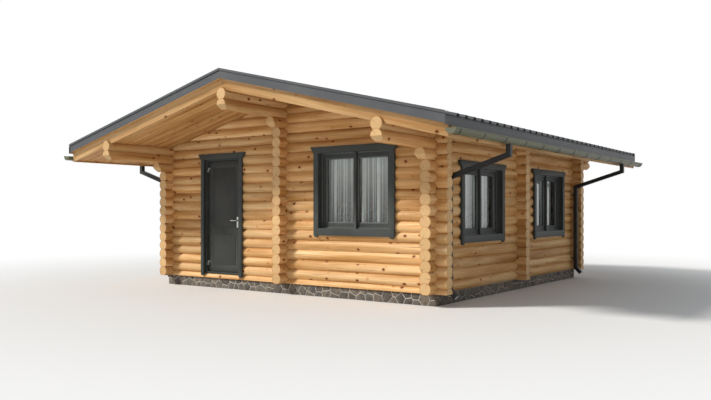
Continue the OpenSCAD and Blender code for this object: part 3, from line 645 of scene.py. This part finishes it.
def dress_logs(node, along_x):
    """A node's logs, each with grain along its own axis and rings on its sawn ends."""
    facing_end = 0.7
    bm = copy_of(node)
    bm.normal_update()
    ends = bm.faces.layers.float.new("end_grain")
    layers = grain_layers(bm)
    along, across = (ALONG_X, ALONG_Y) if along_x else (ALONG_Y, ALONG_X)
    for f in bm.faces:
        f[ends] = 1.0 if abs(f.normal.dot(along)) > facing_end else 0.0
    for i, verts in enumerate(islands(bm)):
        rng = random.Random("%s %d" % (node, i))
        lay_grain(layers, verts, log_axis(verts, along_x), along, across, rng)
    piece(bm, node + "_timber", HONEY, stands_for=[node])


def log_walls():
    for node in ("front_sill_log", "front_wall_left", "front_wall_right", "front_gable", "rear_wall",
                 "rear_gable", "left_tie_logs", "right_tie_logs"):
        dress_logs(node, True)
    for node in ("left_wall", "right_wall", "front_tie_logs", "rear_tie_logs", "left_plates",
                 "right_plates", "ridge_purlins"):
        dress_logs(node, False)


# Plinth of split stones

STONE_DEEP = 0.018


def stone_seeds(length, height, rng):
    """Middles of the stones in a strip, by chance but never close together."""
    tries_per_metre, past_edge = 420, 0.02
    seeds = []
    for _ in range(int(length * tries_per_metre)):
        spot = (rng.uniform(0.0, length), rng.uniform(-past_edge, height + past_edge))
        apart = rng.uniform(0.105, 0.180)
        if all(math.hypot(spot[0] - x, spot[1] - z) > apart for x, z in seeds):
            seeds.append(spot)
    return seeds


def stone_outline(seeds, i, length, height, rng):
    """A stone's flat outline: what lies nearest to its own middle, less half a joint all round."""
    margin, reach = 0.003, 0.4
    sx, sz = seeds[i]
    left, right = max(0.0, sx - reach), min(length, sx + reach)
    low, high = margin, height - margin
    bm = bmesh.new()
    corners = [(left, 0, low), (right, 0, low), (right, 0, high), (left, 0, high)]
    bm.faces.new([bm.verts.new(c) for c in corners])
    here = Vector((sx, 0, sz))
    for j, (ox, oz) in enumerate(seeds):
        if i == j or abs(ox - sx) > reach or not bm.faces:
            continue
        there = Vector((ox, 0, oz))
        toward = (there - here).normalized()
        joint = (here + there) / 2 - toward * rng.uniform(0.0045, 0.0070)
        bmesh.ops.bisect_plane(bm, geom=bm.verts[:] + bm.edges[:] + bm.faces[:], dist=1e-6,
                               plane_co=joint, plane_no=toward, clear_outer=True)
    return bm


def stone_strip(target, tone_layer, length, height, place, rng):
    """Irregular stones that fill a strip, each one a rounded slab with its own tone."""
    least_area, round_over = 0.0012, 0.003
    seeds = stone_seeds(length, height, rng)
    for i, (sx, sz) in enumerate(seeds):
        bm = stone_outline(seeds, i, length, height, rng)
        if sum(f.calc_area() for f in bm.faces) < least_area:
            bm.free()
            continue
        proud = rng.uniform(-0.002, 0.002)
        front = draw_out(bm, bm.faces[:], (0, -STONE_DEEP - proud, 0))
        face_out(bm)
        rim = [e for e in bm.edges if all(v in front for v in e.verts)]
        round_edges(bm, rim, round_over, segments=2)
        tilt = Matrix.Rotation(rng.uniform(-0.02, 0.02), 4, "X")
        tone = rng.random()
        middle = Vector((sx, 0, sz))
        moved = {}
        for v in bm.verts:
            moved[v] = target.verts.new(place @ (tilt @ (v.co - middle) + middle))
            moved[v][tone_layer] = tone
        for f in bm.faces:
            target.faces.new([moved[v] for v in f.verts])
        bm.free()


def plinth_stones():
    """A mortar ring a little behind the plinth's faces, and stones set in all four of them."""
    lo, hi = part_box("plinth")
    back = 0.0045
    length_x, length_y, height = hi.x - lo.x, hi.y - lo.y, hi.z - lo.z
    middle = (lo + hi) / 2
    bm = bmesh.new()
    square_ring(bm, length_x - 2 * back, length_y - 2 * back, PLINTH_T - back, height,
                Matrix.Translation((middle.x, middle.y, lo.z)))
    piece(bm, "plinth_mortar", MORTAR, stands_for=["plinth"])

    bm = bmesh.new()
    tone_layer = bm.verts.layers.float.new("stone_tone")
    rng = random.Random("plinth stones")
    sides = [
        (Vector((lo.x, lo.y + STONE_DEEP, lo.z)), 0.0, length_x),
        (Vector((hi.x - STONE_DEEP, lo.y, lo.z)), math.pi / 2, length_y),
        (Vector((hi.x, hi.y - STONE_DEEP, lo.z)), math.pi, length_x),
        (Vector((lo.x + STONE_DEEP, hi.y, lo.z)), 3 * math.pi / 2, length_y),
    ]
    for corner, turn, length in sides:
        place = Matrix.Translation(corner) @ Matrix.Rotation(turn, 4, "Z")
        stone_strip(bm, tone_layer, length, height, place, rng)
    piece(bm, "plinth_stones", STONE, stands_for=["plinth"], smooth=30)


# Boarded floor and soffit

def level_board(bm, x0, x1, y0, y1, z0, thick):
    """A board from its plan, its underside and its thickness; returns its vertices."""
    near, far = slab(bm, [(x0, y0, z0), (x1, y0, z0), (x1, y1, z0), (x0, y1, z0)], (0, 0, thick))
    return near + far


def floor_boards():
    """A solid bed with boards on it, each row of boards jointed where chance puts it."""
    board_t, board_w, side_gap, end_gap = 0.022, 0.120, 0.0008, 0.0006
    joint_in, round_over, level = 1.0, 0.0015, 1e-5
    lo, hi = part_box("floor")
    bm = bmesh.new()
    level_board(bm, lo.x, hi.x, lo.y, hi.y, lo.z, hi.z - lo.z - board_t)
    face_out(bm)
    layers = grain_layers(bm)
    lay_grain(layers, bm.verts, lo, ALONG_Y, ALONG_X, random.Random("floor bed"))
    piece(bm, "floor_bed", BOARDS, stands_for=["floor"])

    bm = bmesh.new()
    layers = grain_layers(bm)
    rng = random.Random("floor boards")
    count = round((hi.x - lo.x) / board_w)
    pitch = (hi.x - lo.x) / count
    for i in range(count):
        x0, x1 = lo.x + i * pitch + side_gap, lo.x + (i + 1) * pitch - side_gap
        joint = rng.uniform(lo.y + joint_in, hi.y - joint_in)
        for y0, y1 in ((lo.y, joint - end_gap), (joint + end_gap, hi.y)):
            verts = level_board(bm, x0, x1, y0, y1, hi.z - board_t, board_t)
            lay_grain(layers, verts, Vector((x0, y0, hi.z)), ALONG_Y, ALONG_X, rng)
    face_out(bm)
    top = [e for e in bm.edges if all(abs(v.co.z - hi.z) < level for v in e.verts)]
    round_edges(bm, top, round_over)
    piece(bm, "floor_boards", BOARDS, stands_for=["floor"])


def down_slope(side):
    """The direction down the roof on one side."""
    return Vector((side * math.cos(PITCH), 0, -math.sin(PITCH)))


def soffit_boards(side):
    """Roof slab with boards along the slope on its underside."""
    board_t, board_w, gap, round_over, level = 0.016, 0.095, 0.0006, 0.0025, 1e-6
    name = "right_roof_deck" if side > 0 else "left_roof_deck"
    lo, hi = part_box(name)
    x0, x1 = (lo.x, hi.x) if side > 0 else (-hi.x, -lo.x)
    foot = lo.z + SLOPE * x1
    deck_v = hi.z - (foot - SLOPE * x0)
    board_v = board_t / math.cos(PITCH)

    def sloped_slab(bm, y, width, low, high):
        """Part of the deck between two heights over its underside; returns its vertices."""
        z0, z1 = foot - SLOPE * x0, foot - SLOPE * x1
        section = [(side * x0, y, z0 + low), (side * x1, y, z1 + low),
                   (side * x1, y, z1 + high), (side * x0, y, z0 + high)]
        near, far = slab(bm, section, (0, width, 0))
        return near + far

    def on_underside(v):
        return v.co.z < foot - SLOPE * abs(v.co.x) + board_v / 2

    bm = bmesh.new()
    sloped_slab(bm, lo.y, hi.y - lo.y, board_v, deck_v)
    face_out(bm)
    layers = grain_layers(bm)
    lay_grain(layers, bm.verts, lo, down_slope(side), ALONG_Y, random.Random(name))
    piece(bm, name + "_slab", SOFFIT_SHADED, stands_for=[name])

    bm = bmesh.new()
    layers = grain_layers(bm)
    rng = random.Random(name + " boards")
    count = round((hi.y - lo.y) / board_w)
    pitch = (hi.y - lo.y) / count
    for i in range(count):
        y0, y1 = lo.y + i * pitch + gap, lo.y + (i + 1) * pitch - gap
        verts = sloped_slab(bm, y0, y1 - y0, 0.0, board_v)
        lay_grain(layers, verts, Vector((0, y0, foot)), down_slope(side), ALONG_Y, rng)
    face_out(bm)
    low = [e for e in bm.edges
           if all(map(on_underside, e.verts)) and abs(e.verts[0].co.y - e.verts[1].co.y) < level]
    round_edges(bm, low, round_over)
    piece(bm, name.replace("deck", "soffit_boards"), SOFFIT_SHADED, stands_for=[name])


# Roof edges and metalwork

def barge_and_eave_boards():
    """Barge boards with grain down the slope, eave boards with grain along the eaves."""
    bm = copy_of("barge_boards")
    soften(bm, 0.003)
    layers = grain_layers(bm)
    for i, verts in enumerate(islands(bm)):
        lo, hi = bounds_of(verts)
        side = 1 if lo.x + hi.x > 0 else -1
        rng = random.Random("barge %d" % i)
        lay_grain(layers, verts, Vector((0, lo.y, hi.z)), down_slope(side), ALONG_Y, rng)
    piece(bm, "barge_boards_timber", BARGE, stands_for=["barge_boards"])

    bm = copy_of("eave_boards")
    soften(bm, 0.002)
    layers = grain_layers(bm)
    for i, verts in enumerate(islands(bm)):
        lay_grain(layers, verts, bounds_of(verts)[0], ALONG_Y, ALONG_X, random.Random("eave %d" % i))
    piece(bm, "eave_boards_timber", BARGE, stands_for=["eave_boards"])


def metalwork():
    """Roof sheets and flashings, gutters and downpipes in their coatings."""
    for node in ("left_roof_sheet", "right_roof_sheet", "ridge_cap", "verge_flashings", "eave_strips"):
        plain_copy(node, ROOF, smooth=25)
    for node in ("left_gutter", "right_gutter"):
        plain_copy(node, GUTTER)
    plain_copy("gutter_brackets", BRACKET)
    for node in ("left_downpipes", "right_downpipes"):
        plain_copy(node, PIPE, smooth=25)
    plain_copy("pipe_clips", PIPE, round_over=0.001)


def pipe_mouths():
    """A pale lining in the mouth of each downpipe's shoe, which slopes out at 45 degrees; the lining is a
    painted highlight where the mouth catches the light.
    """
    clear, lining_t, length, set_back = 0.0003, 0.0008, 0.060, 0.001
    diagonal = math.sqrt(0.5)
    bm = bmesh.new()
    for node in ("left_downpipes", "right_downpipes"):
        source = copy_of(node)
        for verts in islands(source):
            lo, hi = bounds_of(verts)
            side = 1.0 if lo.x > 0 else -1.0
            r = (hi.y - lo.y) / 2
            foot = min(verts, key=lambda v: v.co.z).co.x
            mouth = Vector((foot + side * r * diagonal, (lo.y + hi.y) / 2, lo.z + r * diagonal))
            ahead = Vector((side * diagonal, 0.0, -diagonal))
            turn = (-ahead).to_track_quat("Z", "Y").to_matrix().to_4x4()
            width = 2 * (r - PIPE_T - clear)
            place = Matrix.Translation(mouth - set_back * ahead) @ turn
            square_ring(bm, width, width, lining_t, length, place)
        source.free()
    piece(bm, "pipe_mouths", MOUTH_HIGHLIGHT)


def roof_screw(bm, place):
    """A screw's six-sided head on a washer, pointing along the place's Z."""
    radius = 0.006
    washer, head = (14, 1.7, 1.5, 0.4, 0.2), (6, 1.0, 0.86, 0.9, 0.8)
    for sides, low, high, deep, rise in (washer, head):
        cone(bm, sides, radius * low, radius * high, radius * deep,
             place @ Matrix.Translation((0, 0, radius * rise)))


def roof_screws():
    """Painted screws in every second valley of the roof sheets, in rows across the slope."""
    rows = (0.35, 1.05, 1.75, 2.45, 3.15, 3.60)
    deck_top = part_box("right_roof_deck")[1].z
    first = -0.5 * (RIB_COUNT - 2) * RIB_PITCH
    sheet_top = deck_top + SHEET_RISE / math.cos(PITCH)
    bm = bmesh.new()
    for side in (-1, 1):
        lean = Matrix.Rotation(side * PITCH, 4, "Y")
        for x in rows:
            for i in range(0, RIB_COUNT - 1, 2):
                spot = (side * x, first + i * RIB_PITCH, sheet_top - SLOPE * x)
                roof_screw(bm, Matrix.Translation(spot) @ lean)
    piece(bm, "roof_screws", ROOF, smooth=20)


# Door and windows

def joinery():
    """Casings, frames, glass and the door with its fittings in their own finishes."""
    for node in ("door_casing", "front_window_casing", "side_window_casings"):
        plain_copy(node, TRIM, round_over=0.003)
    plain_copy("door_frame", FRAME, round_over=0.002)
    for node in ("front_window_frame", "side_window_frames"):
        plain_copy(node, FRAME, round_over=0.004)
    plain_copy("frame_hinges", HINGE)
    plain_copy("window_glass", PANE)
    plain_copy("door_leaf", DOOR, "door", round_over=0.0015)
    plain_copy("leaf_hinges", HINGE, "door")
    plain_copy("door_plates", HANDLE, "door", round_over=0.0015)
    plain_copy("door_lever", HANDLE, "lever")


def rectangle(low_u, low_z, high_u, high_z):
    """Corners of an upright rectangle: low edge first, then round to the left edge."""
    return [(low_u, low_z), (high_u, low_z), (high_u, high_z), (low_u, high_z)]


def mitred_strips(bm, thin, outer, inner, plane, depth, sides=(0, 1, 2, 3)):
    """Strips between two rectangles, standing out of a plane; returns the far inner edge of each."""
    wide = 1 - thin
    reach = Vector((0.0, 0.0, 0.0))
    reach[thin] = depth
    middle_u = (inner[0][0] + inner[2][0]) / 2
    middle_z = (inner[0][1] + inner[2][1]) / 2
    lips = []
    for k in sides:
        m = (k + 1) % 4
        corners = []
        for u, z in (outer[k], outer[m], inner[m], inner[k]):
            corner = Vector((0.0, 0.0, z))
            corner[thin] = plane
            corner[wide] = u
            corners.append(corner)
        far = slab(bm, corners, reach)[1]
        far.sort(key=lambda v: math.hypot(v.co[wide] - middle_u, v.co.z - middle_z))
        lips += [e for e in far[0].link_edges if e.other_vert(far[0]) is far[1]]
    return lips


BEAD_CLEAR = 0.0003


def pane_beads(bm, lo, hi, thin, outside):
    """Beads on both faces of a pane; returns the outdoor beads' front edges around the opening."""
    bead_w, bead_inside, bead_outside = 0.016, 0.011, 0.030
    wide = 1 - thin
    outer = rectangle(lo[wide], lo.z, hi[wide], hi.z)
    inner = rectangle(lo[wide] + bead_w, lo.z + bead_w, hi[wide] - bead_w, hi.z - bead_w)
    lips = []
    for face, out in ((lo[thin], -1.0), (hi[thin], 1.0)):
        deep = bead_outside if out == outside else bead_inside
        edges = mitred_strips(bm, thin, outer, inner, face + BEAD_CLEAR * out, deep * out)
        if out == outside:
            lips += edges
    return lips


def sash_step(bm, lo, hi, thin, outside, post_low):
    """A step along the sash of a pane on three sides, open towards the post in the window's middle."""
    step_w, step_out = 0.018, 0.012
    wide = 1 - thin
    low_z, high_z = lo.z - SASH_W, hi.z + SASH_W
    if post_low:
        low_u, high_u = lo[wide], hi[wide] + SASH_W
        inner = rectangle(low_u, low_z + step_w, high_u - step_w, high_z - step_w)
        sides = (0, 1, 2)
    else:
        low_u, high_u = lo[wide] - SASH_W, hi[wide]
        inner = rectangle(low_u + step_w, low_z + step_w, high_u, high_z - step_w)
        sides = (0, 2, 3)
    outer = rectangle(low_u, low_z, high_u, high_z)
    plane = (lo[thin] + hi[thin]) / 2 + outside * (PANE_IN + BEAD_CLEAR)
    mitred_strips(bm, thin, outer, inner, plane, outside * step_out, sides)


def window_beads():
    """Mitred glazing beads on both faces of every pane, and a step around its sash."""
    splay, round_over = 0.011, 0.0015
    same_wall, post_gap = 0.001, 0.1
    source = copy_of("window_glass")
    panes = [bounds_of(verts) for verts in islands(source)]
    source.free()
    bm = bmesh.new()
    lips = []
    for lo, hi in panes:
        thin = 0 if hi.x - lo.x < hi.y - lo.y else 1
        wide = 1 - thin
        outside = 1.0 if thin == 0 and lo.x > 0 else -1.0
        post_low = any(abs(a[thin] - lo[thin]) < same_wall and 0.0 < lo[wide] - b[wide] < post_gap
                       for a, b in panes)
        lips += pane_beads(bm, lo, hi, thin, outside)
        sash_step(bm, lo, hi, thin, outside, post_low)
    face_out(bm)
    round_edges(bm, lips, splay)
    round_edges(bm, bm.edges[:], round_over)
    # The lighter bead paint is a painted highlight on the beads and steps
    piece(bm, "window_beads", BEAD_HIGHLIGHT)


def plate_details(steel, dark, lo, hi):
    """A lock cylinder under the lever of one plate, and the plate's slotted screws."""
    lock_r, lock_deep, screw_r, screw_deep, taper = 0.0085, 0.004, 0.0035, 0.0016, 0.9
    stem = (0.010, 0.0032, 0.018)
    key_slot = (0.0016, 0.0046, 0.010)
    screw_slot = (0.0045, 0.0019, 0.0009)
    lock_z, stem_z = lo.z + 0.050, lo.z + 0.034
    screw_zs = (lo.z + 0.012, hi.z - 0.012)
    x = (lo.x + hi.x) / 2
    out = -1.0 if (lo.y + hi.y) / 2 < WALL_YS[0] else 1.0
    face = lo.y if out < 0 else hi.y
    turn = Matrix.Rotation(-out * math.pi / 2, 4, "X")

    def on_face(z, deep):
        return Matrix.Translation((x, face + out * deep / 2, z))

    def round_head(z, radius, deep):
        cone(steel, 24, radius, radius * taper, deep, on_face(z, deep) @ turn)

    def block(bm, z, width, deep, height):
        place = on_face(z, deep) @ Matrix.Diagonal((width, deep, height, 1.0))
        bmesh.ops.create_cube(bm, size=1.0, matrix=place)

    round_head(lock_z, lock_r, lock_deep)
    block(dark, lock_z, *key_slot)
    for z in screw_zs:
        round_head(z, screw_r, screw_deep)
        block(dark, z, *screw_slot)
    block(steel, stem_z, *stem)


def lock_and_screws():
    """The details of both door plates: bright steel in one piece, dark slots in another."""
    source = copy_of("door_plates")
    steel, dark = bmesh.new(), bmesh.new()
    for verts in islands(source):
        plate_details(steel, dark, *bounds_of(verts))
    source.free()
    piece(steel, "lock_cylinders", HANDLE, "door", smooth=30)
    piece(dark, "lock_slots", DOOR, "door", smooth=30)


# Curtains

def curtain(i, lo, hi, rng):
    """One gathered curtain in its CAD solid's place, falling in soft folds under the rail."""
    cols, rows = 150, 22
    bunching, ripple = 2.2, 0.12
    depth_top, depth_growth = 0.20, 0.20
    even_part, uneven_part = 0.78, 0.22
    sway_part, double_part, side_part = 0.35, 0.07, 0.35
    wide_x = hi.x - lo.x > hi.y - lo.y
    width = (hi.x - lo.x) if wide_x else (hi.y - lo.y)
    deep = (hi.y - lo.y) if wide_x else (hi.x - lo.x)
    height = hi.z - lo.z
    outward = 1.0 if not wide_x and lo.x > 0 else -1.0
    bm = bmesh.new()
    uv = bm.loops.layers.uv.new("cloth")
    fold = bm.verts.layers.float.new("fold_depth")
    bmesh.ops.create_grid(bm, x_segments=cols, y_segments=rows, size=0.5)
    folds = rng.choice((9, 10, 11))
    spread_at, sway_at, size_at, double_at = [rng.uniform(0, 2 * math.pi) for _ in range(4)]
    spread = rng.uniform(0.10, 0.22)
    flat_of = {}
    for v in bm.verts:
        s, t = v.co.x + 0.5, v.co.y + 0.5
        flat_of[v] = (s, t)
        drop = 1.0 - t
        uneven = spread * math.sin(4 * math.pi * s + spread_at)
        uneven += ripple * math.sin(10 * math.pi * s + size_at)
        turn = 2 * math.pi * (folds * s + bunching * uneven)
        sway = sway_part * drop * math.sin(2 * math.pi * s + sway_at)
        size = deep * (depth_top + depth_growth * drop)
        size *= even_part + uneven_part * math.sin(5 * math.pi * s + size_at)
        out = size * math.sin(turn + sway) + double_part * deep * drop * math.sin(2 * turn + double_at)
        side = side_part * size * math.sin(2 * (turn + sway))
        x = min(max(s * width + side, 0.0), width)
        y = deep / 2 + out
        z = lo.z + t * height
        v.co = (lo.x + x, lo.y + y, z) if wide_x else (lo.x + y, lo.y + x, z)
        # Which way the cloth stands out here; the material paints shade in the hollows from it
        v[fold] = 0.5 + 0.5 * outward * math.sin(turn + sway)
    area = sum(f.calc_area() for f in bm.faces)
    for f in bm.faces:
        for loop in f.loops:
            s, t = flat_of[loop.vert]
            loop[uv].uv = (s * area / height, t * height)
    obj = piece(bm, "curtain_%02d" % i, CLOTH, stands_for=["window_curtains"], smooth=80)


def curtains():
    """A curtain for each of the part's, in a steady order."""
    bm = copy_of("window_curtains")
    boxes = sorted(tuple(map(tuple, bounds_of(verts))) for verts in islands(bm))
    bm.free()
    rng = random.Random("curtains")
    for i, (lo, hi) in enumerate(boxes):
        curtain(i, Vector(lo), Vector(hi), rng)


set_camera()
set_light()
set_floor()
curtains()
log_walls()
plinth_stones()
floor_boards()
soffit_boards(-1)
soffit_boards(1)
barge_and_eave_boards()
metalwork()
pipe_mouths()
roof_screws()
joinery()
window_beads()
lock_and_screws()
